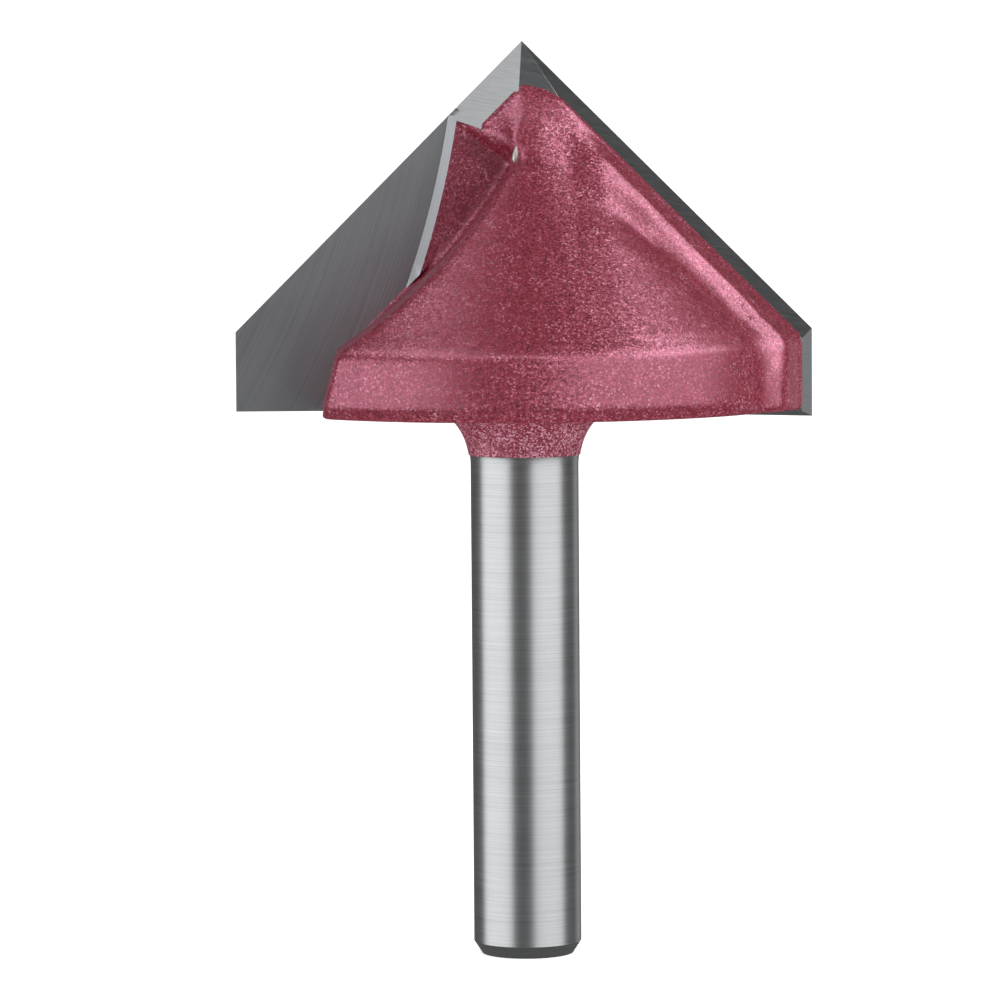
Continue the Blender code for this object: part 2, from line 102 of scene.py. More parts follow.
def make_backdrop(width, front, back, height, bend):
    """Extrude a floor line with a bent corner into a wide sheet."""
    shape = bmesh.new()
    outline = [(front, 0.0)]
    for step in range(BEND_STEPS + 1):
        turn = step / BEND_STEPS * pi / 2.0
        outline.append((back - bend + bend * sin(turn), bend * (1.0 - cos(turn))))
    outline.append((back, height))
    corners = [shape.verts.new((-width / 2.0, y, z)) for y, z in outline]
    line = [shape.edges.new(pair) for pair in zip(corners, corners[1:])]
    extruded = bmesh.ops.extrude_edge_only(shape, edges=line)["geom"]
    moved = [item for item in extruded if isinstance(item, bmesh.types.BMVert)]
    bmesh.ops.translate(shape, verts=moved, vec=(width, 0.0, 0.0))
    bmesh.ops.recalc_face_normals(shape, faces=shape.faces)
    return shape


# %% [markdown]
# Every piece below is first a bmesh and then an object, so one helper does the last step for all
# of them. It leaves the object at the origin, with the place of the piece in its mesh.

# %% From bmesh to object
def finish_mesh(shape, name, material=None, smooth=True, sharp=None):
    """Turn a bmesh into an object at the origin."""
    mesh = bpy.data.meshes.new(name)
    shape.to_mesh(mesh)
    shape.free()
    if smooth:
        mesh.shade_smooth()
        if sharp is not None:
            mesh.set_sharp_from_angle(angle=radians(sharp))
    if material is not None:
        mesh.materials.append(material)
    thing = bpy.data.objects.new(name, mesh)
    bpy.context.scene.collection.objects.link(thing)
    print(name, "has", len(mesh.polygons), "faces")
    return thing


# %% [markdown]
# A finish is a small net of shader nodes. This helper keeps its recipes short: an input takes
# either a plain value, which is set on the socket, or another node's output, which is linked.

# %% Nodes
class Nodes:
    """A short way to add shader nodes and link them."""

    def __init__(self, material):
        material.use_nodes = True
        self.tree = material.node_tree
        self.shader = self.tree.nodes["Principled BSDF"]

    def add(self, kind, inputs=None, **settings):
        """Add a node, with its inputs and its settings."""
        node = self.tree.nodes.new(kind)
        for key, value in settings.items():
            setattr(node, key, value)
        for key, value in (inputs or {}).items():
            self.set(node, key, value)
        return node

    def set(self, node, key, value):
        """Link an output to an input, or set a plain value on it."""
        socket = node.inputs[key]
        if isinstance(value, bpy.types.NodeSocket):
            self.tree.links.new(value, socket)
        else:
            socket.default_value = value

    def maths(self, operation, first, second=0.0, third=0.0):
        """Calculate with outputs and plain numbers."""
        node = self.tree.nodes.new("ShaderNodeMath")
        node.operation = operation
        for key, value in enumerate((first, second, third)):
            self.set(node, key, value)
        return node.outputs[0]

    def ramp(self, value, *stops):
        """Map a value to colours at (place, (r, g, b)) stops."""
        node = self.tree.nodes.new("ShaderNodeValToRGB")
        steps = node.color_ramp.elements
        while len(steps) < len(stops):
            steps.new(0.5)
        for step, (where, color) in zip(steps, stops):
            step.position = where
            step.color = (*color, 1.0)
        self.set(node, "Fac", value)
        return node.outputs["Color"]


# %% [markdown]
# The backdrop glows a little by itself, so that it comes out white without bright lamps on it. It
# is hidden from reflections, because the bright metal would show it as a white band.

# %% Backdrop
white = bpy.data.materials.new("white_paper")
paper = Nodes(white)
paper.set(paper.shader, "Base Color", (0.92, 0.92, 0.92, 1.0))
paper.set(paper.shader, "Roughness", 1.0)
paper.set(paper.shader, "Specular IOR Level", 0.0)
paper.set(paper.shader, "Emission Color", (1.0, 1.0, 1.0, 1.0))
paper.set(paper.shader, "Emission Strength", 0.62)
backdrop_shape = make_backdrop(width=3.0, front=-0.9, back=0.9, height=2.2, bend=0.5)
backdrop = finish_mesh(backdrop_shape, "backdrop", white)
backdrop.visible_glossy = False

# %% [markdown]
# ## Light
# The ground shank works as a mirror that shows the whole room as narrow stripes. It has a bright
# stripe left and right and dark ones in the middle and at its rims, so there are two large soft
# boxes beside the bit, and the room around the camera is dim. The flat faces of the carbide and
# the ridges of the head each mirror one direction only. Two upright panels, a high strip in front
# and a small box behind stand in those directions.

# %% Soft boxes
AIM_HEIGHT = 0.03


def hang_lamp(name, width, tall, power):
    """Make a rectangular lamp and put it in the scene."""
    lamp = bpy.data.lights.new(name, "AREA")
    lamp.shape = "RECTANGLE"
    lamp.size = width
    lamp.size_y = tall
    lamp.energy = power
    item = bpy.data.objects.new(name, lamp)
    bpy.context.scene.collection.objects.link(item)
    return item


def soft_box(name, start, end, distance, height, tall, power):
    """Hang a soft box that spans an angle round the bit, measured from the camera's side."""
    middle = radians((start + end) / 2.0)
    width = 2.0 * distance * tan(radians(abs(end - start) / 2.0))
    item = hang_lamp(name, width, tall, power)
    item.location = (distance * sin(middle), -distance * cos(middle), height)
    aim = Vector((0.0, 0.0, AIM_HEIGHT)) - item.location
    item.rotation_euler = aim.to_track_quat("-Z", "Y").to_euler()


def upright_panel(name, x, front, back, low, high, power):
    """Stand a panel of light beside the bit, upright and square to the picture."""
    item = hang_lamp(name, back - front, high - low, power)
    item.location = (x, (front + back) / 2.0, (low + high) / 2.0)
    item.rotation_euler = (radians(90.0), 0.0, radians(90.0 if x > 0.0 else -90.0))


soft_box("left_box", start=-32.0, end=-104.0, distance=0.6, height=0.0, tall=0.4, power=1.4)
soft_box("right_box", start=12.0, end=86.0, distance=0.6, height=0.15, tall=0.7, power=2.3)
upright_panel("left_panel", x=-0.45, front=-0.62, back=0.1, low=0.42, high=1.4, power=3.4)
upright_panel("right_panel", x=0.45, front=-0.36, back=0.12, low=0.3, high=0.98, power=3.0)
soft_box("front_strip", start=-25.0, end=25.0, distance=0.6, height=0.6, tall=0.1, power=0.6)
soft_box("edge_box", start=128.0, end=152.0, distance=0.6, height=0.0, tall=0.3, power=0.07)
room = bpy.data.worlds.new("dim_room")
room.use_nodes = True
room.node_tree.nodes["Background"].inputs["Color"].default_value = (1.0, 1.0, 1.0, 1.0)
room.node_tree.nodes["Background"].inputs["Strength"].default_value = 0.12
bpy.context.scene.world = room
bpy.context.scene.view_settings.view_transform = "Standard"
print("lamps:", len(bpy.data.lights))

# %% [markdown]
# ## Paint
# The coat is a crimson lacquer with coarse metal flake. Each flake lies at its own small angle,
# so it flashes by itself. Small Voronoi cells give every flake a random tilt, a random brightness
# and a random roughness. Towards the neck the colour is made paler.

# %% Crimson flake paint
FLAKES_PER_METRE = 12500.0
CLOUDS_PER_METRE = 700.0
FLAKE_TILT = 0.17
PALER_FROM = HEAD_BOTTOM - 0.2 * MM
PALING_RATE = 200.0
PALEST = 0.2
crimson = bpy.data.materials.new("crimson_flake_paint")
coat = Nodes(crimson)
where = coat.add("ShaderNodeTexCoord").outputs["Object"]
flakes = coat.add(
    "ShaderNodeTexVoronoi", {"Vector": where, "Scale": FLAKES_PER_METRE}, feature="F1"
).outputs["Color"]
clouds = coat.add("ShaderNodeTexNoise", {"Vector": where, "Scale": CLOUDS_PER_METRE, "Detail": 3.0})
tilt = coat.add("ShaderNodeVectorMath", {0: flakes, 1: (0.5, 0.5, 0.5)}, operation="SUBTRACT")
tilt = coat.add("ShaderNodeVectorMath", {0: tilt.outputs[0], "Scale": FLAKE_TILT}, operation="SCALE")
surface = coat.add("ShaderNodeNewGeometry").outputs["Normal"]
flash = coat.add("ShaderNodeVectorMath", {0: surface, 1: tilt.outputs[0]}, operation="ADD")
flash = coat.add("ShaderNodeVectorMath", {0: flash.outputs[0]}, operation="NORMALIZE")
flake = coat.add("ShaderNodeSeparateColor", {"Color": flakes}).outputs
shade = coat.maths("MULTIPLY", flake["Red"], 0.7)
shade = coat.maths("MULTIPLY_ADD", clouds.outputs["Fac"], 0.3, shade)
# The colour is made paler towards the neck: below the head the ramp is read higher, by up to 0.2.
height = coat.add("ShaderNodeSeparateXYZ", {"Vector": where}).outputs["Z"]
thin = coat.maths("MULTIPLY_ADD", height, -PALING_RATE, PALING_RATE * PALER_FROM)
thin = coat.maths("MINIMUM", coat.maths("MAXIMUM", thin, 0.0), PALEST)
tint = coat.ramp(
    coat.maths("ADD", shade, thin),
    (0.15, (0.14, 0.003, 0.008)),
    (0.5, (0.27, 0.012, 0.026)),
    (0.76, (0.4, 0.05, 0.085)),
    (0.95, (0.78, 0.38, 0.48)),
)
coat.set(coat.shader, "Base Color", tint)
coat.set(coat.shader, "Metallic", 0.25)
coat.set(coat.shader, "Roughness", coat.maths("MULTIPLY_ADD", flake["Green"], 0.24, 0.23))
coat.set(coat.shader, "IOR", 2.8)
coat.set(coat.shader, "Specular Tint", (1.0, 0.6, 0.8, 1.0))
coat.set(coat.shader, "Normal", flash.outputs[0])
print("paint:", len(coat.tree.nodes), "nodes")

# %% [markdown]
# ## Bare metals
# The shank was ground while it turned, so its marks run round it. The relief faces of the carbide
# were ground flat, so their marks are straight and slanted. A large wheel ground the rake faces,
# and left wide arcs round its own centre, far outside the bit. In each finish, a noise that is
# stretched along the marks changes the roughness, the tone and the height a little.

# %% Ways that grinding marks run
MARKS_PER_METRE = 1000.0
ARC_SQUEEZE = 10.0
ARC_STRETCH = 0.002


def straight_marks(metal, where, turn, stretch):
    """Stretch the coordinates along one direction."""
    turned = metal.add("ShaderNodeMapping", {"Vector": where, "Rotation": turn})
    return metal.add("ShaderNodeMapping", {"Vector": turned.outputs[0], "Scale": stretch}).outputs[0]


def wheel_marks(metal, where, wheel):
    """Bend the coordinates into arcs round the centre of a wheel, given as (x, z)."""
    place = metal.add("ShaderNodeSeparateXYZ", {"Vector": where})
    aside = metal.maths("SUBTRACT", metal.maths("ABSOLUTE", place.outputs["X"]), wheel[0])
    above = metal.maths("SUBTRACT", place.outputs["Z"], wheel[1])
    square = metal.maths("MULTIPLY_ADD", aside, aside, metal.maths("MULTIPLY", above, above))
    reach = metal.maths("MULTIPLY", metal.maths("SQRT", square), ARC_SQUEEZE)
    around = metal.maths("MULTIPLY", metal.maths("ARCTAN2", above, aside), ARC_STRETCH)
    return metal.add("ShaderNodeCombineXYZ", {"X": reach, "Y": around, "Z": 0.0}).outputs[0]


# %% [markdown]
# The same recipe serves all the metals. Only the colour, the roughness, the way and the depth of
# the marks and the strength of their glint differ.

# %% Ground finish
def ground_finish(name, color, roughness, depth, glint, turn=None, stretch=None, wheel=None):
    """Make a metal with fine marks, straight ones, or arcs round the centre of a wheel."""
    material = bpy.data.materials.new(name)
    metal = Nodes(material)
    where = metal.add("ShaderNodeTexCoord").outputs["Object"]
    lay = straight_marks(metal, where, turn, stretch) if wheel is None else wheel_marks(metal, where, wheel)
    marks = metal.add("ShaderNodeTexNoise", {"Vector": lay, "Scale": MARKS_PER_METRE, "Detail": 5.0})
    patches = metal.add("ShaderNodeTexNoise", {"Vector": where, "Scale": 260.0, "Detail": 2.0})
    mixed = metal.maths("MULTIPLY_ADD", patches.outputs["Fac"], 0.25, marks.outputs["Fac"])
    low = tuple(channel * (1.0 - glint) for channel in color)
    high = tuple(min(1.0, channel * (1.0 + glint)) for channel in color)
    metal.set(metal.shader, "Base Color", metal.ramp(mixed, (0.4, low), (0.8, high)))
    metal.set(metal.shader, "Metallic", 1.0)
    rough = metal.maths("MULTIPLY_ADD", mixed, glint, roughness - 0.6 * glint)
    metal.set(metal.shader, "Roughness", rough)
    bump = metal.add("ShaderNodeBump", {"Height": mixed, "Distance": depth, "Strength": 0.5})
    metal.set(metal.shader, "Normal", bump.outputs[0])
    return material


WHEEL_CENTER = (56.5 * MM, 55.0 * MM)
SLANTED = (0.0, radians(-12.0), 0.0)
UNTURNED = (0.0, 0.0, 0.0)
carbide = ground_finish(
    "ground_carbide", (0.38, 0.39, 0.4), 0.25, 0.003 * MM, 0.12, turn=SLANTED, stretch=(0.5, 0.5, 12.0)
)
rake = ground_finish(
    "wheel_ground_carbide", (0.46, 0.475, 0.5), 0.4, 0.004 * MM, 0.1, wheel=WHEEL_CENTER
)
steel = ground_finish(
    "ground_steel", (0.55, 0.56, 0.57), 0.3, 0.006 * MM, 0.12, turn=UNTURNED, stretch=(0.15, 0.15, 16.0)
)
silver = ground_finish(
    "dull_silver", (0.74, 0.73, 0.68), 0.45, 0.02 * MM, 0.15, turn=UNTURNED, stretch=(1.0, 1.0, 1.0)
)
print("metals:", carbide.name, rake.name, steel.name, silver.name)

# %% [markdown]
# ## Coat of paint
# Paint rounds every milled edge and runs over the braze, but it is ground away wherever carbide
# shows. So the coat is made as one skin. The body, the braze films and slightly sunken copies of
# the plates are joined, remeshed into small even faces, and relaxed. The crisp plates then stand
# out of the skin, and the paint meets them in a clean line.

# %% Copies of the solids
WELD_DISTANCE = 0.002 * MM
FLAT_ANGLE = radians(0.4)


def clean_copy(node):
    """Copy a solid with its loose triangles welded and its flat faces whole."""
    shape = bmesh.new()
    shape.from_mesh(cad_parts[node].data)
    bmesh.ops.remove_doubles(shape, verts=shape.verts, dist=WELD_DISTANCE)
    bmesh.ops.dissolve_limit(shape, angle_limit=FLAT_ANGLE, verts=shape.verts, edges=shape.edges)
    shape.normal_update()
    return shape


def cut_away(shape, point, side):
    """Cut a closed bmesh by a plane, drop what lies on one side of it, and close the cut."""
    everything = shape.verts[:] + shape.edges[:] + shape.faces[:]
    bmesh.ops.bisect_plane(shape, geom=everything, plane_co=point, plane_no=side, clear_outer=True)
    bmesh.ops.holes_fill(shape, edges=[edge for edge in shape.edges if edge.is_boundary])


def add_shape(target, shape):
    """Move the faces of one bmesh into another."""
    mesh = bpy.data.meshes.new("moved")
    shape.to_mesh(mesh)
    shape.free()
    target.from_mesh(mesh)
    bpy.data.meshes.remove(mesh)


# %% [markdown]
# A plate has to lie under the skin by the same depth on all its sides, also where they slant.
# Scaling can't do that. So each corner is moved to where its faces meet once they have all gone
# in, which is a small least-squares problem. The real plate has a thin gap to its seat, and a
# second copy, moved a little, bridges it.

# %% Sunken plates
FRONT = (0.0, -1.0, 0.0)
BACK = (0.0, 1.0, 0.0)
SUNK = 0.1 * MM


def inward_move(vert, depth):
    """Find the move of a corner that sets all the faces around it in by the same depth."""
    facing = np.array([face.normal for face in vert.link_faces])
    depths = np.full(len(facing), -depth)
    return Vector(np.linalg.lstsq(facing, depths, rcond=0.05)[0])


def repeat_moved(shape, way):
    """Add a moved copy, so that a thin gap on that side is bridged."""
    geometry = shape.verts[:] + shape.edges[:] + shape.faces[:]
    copy = bmesh.ops.duplicate(shape, geom=geometry)["geom"]
    verts = [item for item in copy if isinstance(item, bmesh.types.BMVert)]
    bmesh.ops.translate(shape, verts=verts, vec=way)


def sunken_plate(node, way):
    """Copy a plate with every face moved inwards, and bridge its gaps to the seat."""
    shape = clean_copy(node)
    moves = [(vert, inward_move(vert, SUNK)) for vert in shape.verts]
    for vert, move in moves:
        vert.co += move
    if node == "short_insert":
        # The pad is added later, so this copy is cut level with the rake face.
        cut_away(shape, (0.0, 1.2 * SUNK, 0.0), FRONT)
    repeat_moved(shape, way)
    return shape


# %% [markdown]
# The forms may overlap each other, because the remesh below keeps only their outer surface. Each
# braze film is put in twice, a little to the front and a little to the back, to close its gaps.

# %% Forms under the paint
BRIDGE_ASIDE = 0.1 * MM
BRIDGE_DOWN = 0.06 * MM
FILM_SHIFT = 0.05 * MM
painted = clean_copy("steel_body")
add_shape(painted, sunken_plate("long_insert", (-BRIDGE_ASIDE, 0.0, -BRIDGE_DOWN)))
add_shape(painted, sunken_plate("short_insert", (BRIDGE_ASIDE, 0.0, -BRIDGE_DOWN)))
for film in ("long_braze", "short_braze"):
    for shift in (-FILM_SHIFT, FILM_SHIFT):
        copy = clean_copy(film)
        bmesh.ops.translate(copy, verts=copy.verts, vec=(0.0, shift, 0.0))
        add_shape(painted, copy)
print("forms under the paint:", len(painted.faces), "faces")

# %% [markdown]
# The raised pad on the short plate was never ground, so it keeps its paint. A copy of the pad goes
# into the skin too, moved in from the arc where the grinding wheel stopped. The paint then runs
# from the pad up the walls around it without a crack. One corner of the pad, beside the tip, was
# ground bare.

# %% Pad under the paint
PAD_CUT = (0.0, -0.2 * MM, 0.0)
PAD_MOVE = (0.45 * MM, -0.02 * MM, -0.1 * MM)
BARE_CORNER = Vector((-3.66 * MM, -PAD_HEIGHT, 46.45 * MM))
BARE_SIDE = Vector((0.215, 0.0, 0.977))
pad = clean_copy("short_insert")
cut_away(pad, PAD_CUT, BACK)
bmesh.ops.translate(pad, verts=pad.verts, vec=PAD_MOVE)
cut_away(pad, BARE_CORNER, BARE_SIDE)
print("pad under the paint:", len(pad.faces), "faces")
add_shape(painted, pad)

# %% [markdown]
# Above the pad, the end wall of the gullet is a steep ramp: the paint has filled the corner. It is
# the hull of the line at its foot and the line of its crest.

# %% Ramp at the end wall
RAMP_CORNERS = (
    (-3.62, -0.38, 46.33),
    (-0.62, -0.40, 44.10),
    (-0.60, -3.50, 44.83),
    (-2.00, -2.20, 45.96),
    (-2.00, -0.30, 45.96),
    (-0.50, -0.30, 44.83),
)
ramp = bmesh.new()
for corner in RAMP_CORNERS:
    ramp.verts.new(Vector(corner) * MM)
bmesh.ops.convex_hull(ramp, input=ramp.verts)
bmesh.ops.recalc_face_normals(ramp, faces=ramp.faces)
print("ramp:", len(ramp.faces), "faces")
add_shape(painted, ramp)

# %% [markdown]
# A voxel remesh wraps all these forms in one closed net of small even faces. Its steps are then
# smoothed out, which also rounds the edges as a real coat does.

# %% Remesh
VOXEL = 0.17 * MM
FIRST_TURNS = 5


def remeshed(shape, name, voxel):
    """Give a bmesh small even faces that follow its outer surface."""
    rough = finish_mesh(shape, name, smooth=False)
    remesh = rough.modifiers.new("Remesh", "REMESH")
    remesh.mode = "VOXEL"
    remesh.voxel_size = voxel
    bpy.context.view_layer.update()
    evaluated = rough.evaluated_get(bpy.context.evaluated_depsgraph_get())
    mesh = bpy.data.meshes.new_from_object(evaluated)
    result = bmesh.new()
    result.from_mesh(mesh)
    bpy.data.objects.remove(rough)
    bpy.data.meshes.remove(mesh)
    return result


def relax(verts, turns, level=False):
    """Smooth some points of the skin a few times, each at its own height where level is set."""
    for turn in range(turns):
        bmesh.ops.smooth_vert(
            skin, verts=verts, factor=0.5, use_axis_x=True, use_axis_y=True, use_axis_z=not level
        )


skin = remeshed(painted, "painted_head_forms", VOXEL)
relax(skin.verts, FIRST_TURNS)
skin.normal_update()
print("skin:", len(skin.verts), "points")

# %% [markdown]
# ## Shaping the coat
# The next cells work on parts of the skin. The parts are told by how far a point is from the
# cutting plane, by its height and by its distance from the axis. The bit is alike after half a
# turn, so both halves are measured towards the tooth that the point lies behind.

# %% Measures on the skin
UPRIGHT_EDGE_TOP = 33.5
SLANTED_EDGE_BOTTOM = 35.0
HEAD_BOTTOM_HEIGHT = HEAD_BOTTOM / MM
ABOVE_ALL = 60.0
BEYOND_ALL = 20.0


def between(value, low, high):
    """Rise from 0 to 1 as a length goes from low to high, in millimetres."""
    return min(1.0, max(0.0, (value / MM - low) / (high - low)))


def region(back, z=(0.0, ABOVE_ALL), x=(0.0, BEYOND_ALL), behind_tooth=True):
    """Pick points further than back from the cutting plane, within ranges in millimetres."""
    return [
        vert
        for vert in skin.verts
        if abs(vert.co.y) > back * MM
        and z[0] * MM < vert.co.z < z[1] * MM
        and x[0] * MM <= abs(vert.co.x) < x[1] * MM
        and (vert.co.x * vert.co.y < 0.0 or not behind_tooth)
    ]


def off_plane(vert):
    """Tell which way leads off the cutting plane: -1 at the front and 1 at the back."""
    return -1.0 if vert.co.y < 0.0 else 1.0


def tooth_side(vert):
    """Measure from the axis towards the tooth that a point lies behind."""
    return -off_plane(vert) * vert.co.x


def edge_slant(vert):
    """Tell whether the cutting edge beside a point is upright (0) or slanted (1)."""
    return between(vert.co.z, UPRIGHT_EDGE_TOP, SLANTED_EDGE_BOTTOM)


def from_edge(vert):
    """Measure how far a point is from the outline that the cutting edge draws."""
    slant = edge_slant(vert)
    from_slanted = (OVERALL_LENGTH - vert.co.z - tooth_side(vert)) / sqrt(2.0)
    return slant * from_slanted + (1.0 - slant) * (CUTTING_RADIUS - tooth_side(vert))


print("behind the teeth:", len(region(2.0)), "points")

# %% [markdown]
# Thick paint draws back from a sharp crest. Behind the plates the milled forms are relaxed
# further, and the shoulders beside the tip most of all.

# %% Rounder behind the teeth
SHOULDER_SECTOR = -0.9 * MM**2
for back, turns in ((2.9, 3), (3.2, 3), (3.5, 4)):
    relax(region(back, z=(HEAD_BOTTOM_HEIGHT + 1.2, ABOVE_ALL), behind_tooth=False), turns)
for back, turns in ((2.3, 5), (2.6, 8), (2.9, 12)):
    shoulder = region(back, z=(42.3, ABOVE_ALL))
    relax([vert for vert in shoulder if vert.co.x * vert.co.y < SHOULDER_SECTOR], turns)
print("shoulders:", len(shoulder), "points")

# %% [markdown]
# The valley behind each tooth is milled deepest along its middle. The skin is pressed in there,
# with a soft edge, so that the crest of the tooth stands out as one rounded ridge. Where the
# valley bends down to the band, and at its foot, it is relaxed once more.

# %% Deeper valleys
VALLEY_Y = 5.7 * MM
VALLEY_WIDTH = 1.0 * MM
VALLEY_DEPTH = 0.5 * MM
VALLEY_REACH = 4.0 * MM
skin.normal_update()
for vert in region(0.0, x=(3.0, BEYOND_ALL)):
    across = abs(vert.co.x)
    if (OVERALL_LENGTH - vert.co.z - across) / sqrt(2.0) < VALLEY_REACH:
        middle = exp(-(((abs(vert.co.y) - VALLEY_Y) / VALLEY_WIDTH) ** 2))
        ends = between(across, 3.0, 7.0) * between(vert.co.z, 34.0, 35.5)
        vert.co -= vert.normal * VALLEY_DEPTH * middle * ends
relax(region(3.2, z=(34.0, ABOVE_ALL), behind_tooth=False), 3)
for back, turns in ((3.6, 10), (4.2, 14)):
    relax(region(back, z=(33.0, 38.0), x=(11.8, BEYOND_ALL)), turns)
for back, turns in ((3.2, 3), (4.0, 3)):
    relax(region(back, z=(0.0, 34.5), x=(11.0, BEYOND_ALL)), turns, level=True)
skin.normal_update()
print("valleys:", 2.0 * VALLEY_Y / MM, "mm apart")

# %% [markdown]
# The crest of the ridge runs close behind the plate, so the strip behind the plate is moved
# outwards. The nose falls away to both sides of its crease, a little more than the milled form
# does.

# %% Crest and nose
CREST_MOVE = 0.4 * MM
CREST_MOVE_MORE = 0.2 * MM
NOSE_FALL = 0.414 * MM
NOSE_FALL_LEFT = 0.45 * MM
for vert in region(2.1, behind_tooth=False):
    away = abs(vert.co.y)
    toward = tooth_side(vert)
    if toward > 2.6 * MM and vert.co.z > HEAD_BOTTOM - 1.0 * MM:
        slant = edge_slant(vert)
        inward = from_edge(vert)
        share = between(inward, 1.0, 2.1) * (1.0 - between(inward, 2.4, 4.6))
        share *= between(away, 2.1, 2.9) * (1.0 - between(away, 5.0, 7.0))
        share *= between(toward, 2.6, 4.2)
        outward = Vector((-off_plane(vert), 0.0, slant)).normalized()
        vert.co += outward * (CREST_MOVE + CREST_MOVE_MORE * slant) * share
    if vert.co.z > 40.5 * MM:
        rise = vert.co.z
        fall = NOSE_FALL * between(toward, 1.0, 3.3) * between(rise, 40.5, 45.5)
        left = between(-toward, 0.2, 0.7) * between(rise, 43.6, 44.4)
        fall += NOSE_FALL_LEFT * left * (1.0 - between(rise, 45.3, 46.9))
        vert.co.y -= off_plane(vert) * fall * between(away, 2.1, 2.9)
relax(region(2.6, z=(33.0, ABOVE_ALL), behind_tooth=False), 2)
skin.normal_update()
print("crest moved by", round((CREST_MOVE + CREST_MOVE_MORE) / MM, 2), "mm")

# %% [markdown]
# The light on the ridge is a narrow band, so only a narrow strip along its crest may face the
# viewer. Inside the crest the skin is lifted into a slope, and outside it is sunk into another.

# %% Narrow crest
CREST_LINE_UPRIGHT = 2.1
CREST_LINE_SLANTED = 1.5
CREST_LINE_START = 6.0
CREST_LINE_SPREAD = 0.065
LIFT_UPRIGHT = 0.24
LIFT_MORE = 0.2
LIFT_REACH = 0.9
SINK = 0.3
SINK_REACH = 0.7
RIDGE_REACH = 5.2 * MM


def crest_line(vert):
    """Find how far inside the cutting edge the crest runs beside a point, in millimetres."""
    slanted = CREST_LINE_SLANTED + CREST_LINE_SPREAD * (tooth_side(vert) / MM - CREST_LINE_START)
    slant = edge_slant(vert)
    return slant * slanted + (1.0 - slant) * CREST_LINE_UPRIGHT


for vert in region(2.1, z=(HEAD_BOTTOM_HEIGHT - 0.2, ABOVE_ALL), x=(3.0, BEYOND_ALL)):
    inward = from_edge(vert)
    off = inward / MM - crest_line(vert)
    share = (1.0 - between(inward, 2.8, 7.5)) * between(abs(vert.co.y), 2.1, 2.9)
    share *= between(tooth_side(vert), 2.6, 4.8)
    lift = (LIFT_UPRIGHT + LIFT_MORE * edge_slant(vert)) * min(LIFT_REACH, max(0.0, off - 0.3))
    lift -= SINK * min(0.0, max(-SINK_REACH, off + 0.25)) ** 2
    vert.co.y += off_plane(vert) * lift * MM * share
ridge = []
for vert in region(2.6, z=(HEAD_BOTTOM_HEIGHT + 0.4, ABOVE_ALL)):
    across = abs(vert.co.x)
    if max(OVERALL_LENGTH - vert.co.z - across, 1.5 * (CUTTING_RADIUS - across)) < RIDGE_REACH:
        ridge.append(vert)
relax(ridge, 4)
print("ridge:", len(ridge), "points")

# %% [markdown]
# The ridge has to run into the nose without a step, and the crease of the nose is soft. Both
# places are relaxed twice, the second time in a smaller region, so that no border shows.

# %% Bridge to the nose, and its crease
for edge, turns in ((0.0, 6), (0.5, 8)):
    heights = (41.4 + edge, 46.4 - edge)
    relax(region(2.6 + 0.5 * edge, z=heights, x=(2.4 + edge, 6.4 - edge)), turns)
for reach, turns in ((0.9, 8), (0.6, 8)):
    relax(region(1.9, z=(45.2, 47.5), x=(0.0, reach), behind_tooth=False), turns)
skin.normal_update()
print("crease relaxed within", reach, "mm of the axis")

# %% [markdown]
# The crease of the nose leans a little to the left as it comes down, so the skin is sheared
# sideways along it.

# %% Lean of the nose crease
CREASE_X = -0.1 * MM
CREASE_WIDTH = 0.55 * MM
CREASE_LEAN = 0.35
CREASE_MIDDLE = 46.4 * MM
for vert in region(1.6, z=(44.9, 47.3), behind_tooth=False):
    if vert.co.y < 0.0:
        near = exp(-(((vert.co.x - CREASE_X) / CREASE_WIDTH) ** 2))
        near *= between(vert.co.z, 44.9, 45.4) * (1.0 - between(vert.co.z, 46.7, 47.3))
        vert.co.x += CREASE_LEAN * (vert.co.z - CREASE_MIDDLE) * near
skin.normal_update()
print("crease leans by", CREASE_LEAN, "mm per millimetre")

# %% [markdown]
# Just behind each plate the coat is made a little fuller, so that it covers the braze. Along the
# back edge of a plate's flank it stands out most, and covers the edge of the carbide.

# %% Fuller paint beside the plates
FULLER = 0.06 * MM
OVERLAP = 0.075 * MM
OVERLAP_SECTOR = 0.3 * MM**2
for vert in skin.verts:
    away = abs(vert.co.y)
    if vert.co.z > HEAD_BOTTOM and away > 1.0 * MM:
        vert.co += vert.normal * FULLER * (1.0 - between(away, 2.4, 3.4))
    if vert.co.x * vert.co.y < OVERLAP_SECTOR and vert.co.z > 34.5 * MM:
        away = abs(vert.co.y)
        vert.co += vert.normal * OVERLAP * between(away, 1.55, 1.85) * (1.0 - between(away, 2.3, 3.2))
print("skin:", len(skin.verts), "points")

# %% [markdown]
# On the neck the coat ends in a clean line round the steel. The skin is cut there, made a little
# thicker above the cut, and its rim is turned in to the steel.

# %% Edge of the paint on the neck
RIM_THICKNESS = 0.06 * MM
RIM_TURN_IN = 0.95
bmesh.ops.bisect_plane(
    skin,
    geom=skin.verts[:] + skin.edges[:] + skin.faces[:],
    plane_co=(0.0, 0.0, PAINT_END),
    plane_no=(0.0, 0.0, 1.0),
    clear_inner=True,
)
skin.normal_update()
for vert in skin.verts:
    share = 1.0 - between(vert.co.z, HEAD_BOTTOM_HEIGHT - 2.3, HEAD_BOTTOM_HEIGHT - 0.8)
    outward = Vector((vert.co.x, vert.co.y, 0.0)).normalized()
    vert.co += outward * share * RIM_THICKNESS
rim = [edge for edge in skin.edges if edge.is_boundary]
lip = bmesh.ops.extrude_edge_only(skin, edges=rim)["geom"]
lip = [item for item in lip if isinstance(item, bmesh.types.BMVert)]
bmesh.ops.scale(skin, verts=lip, vec=(RIM_TURN_IN, RIM_TURN_IN, 1.0))
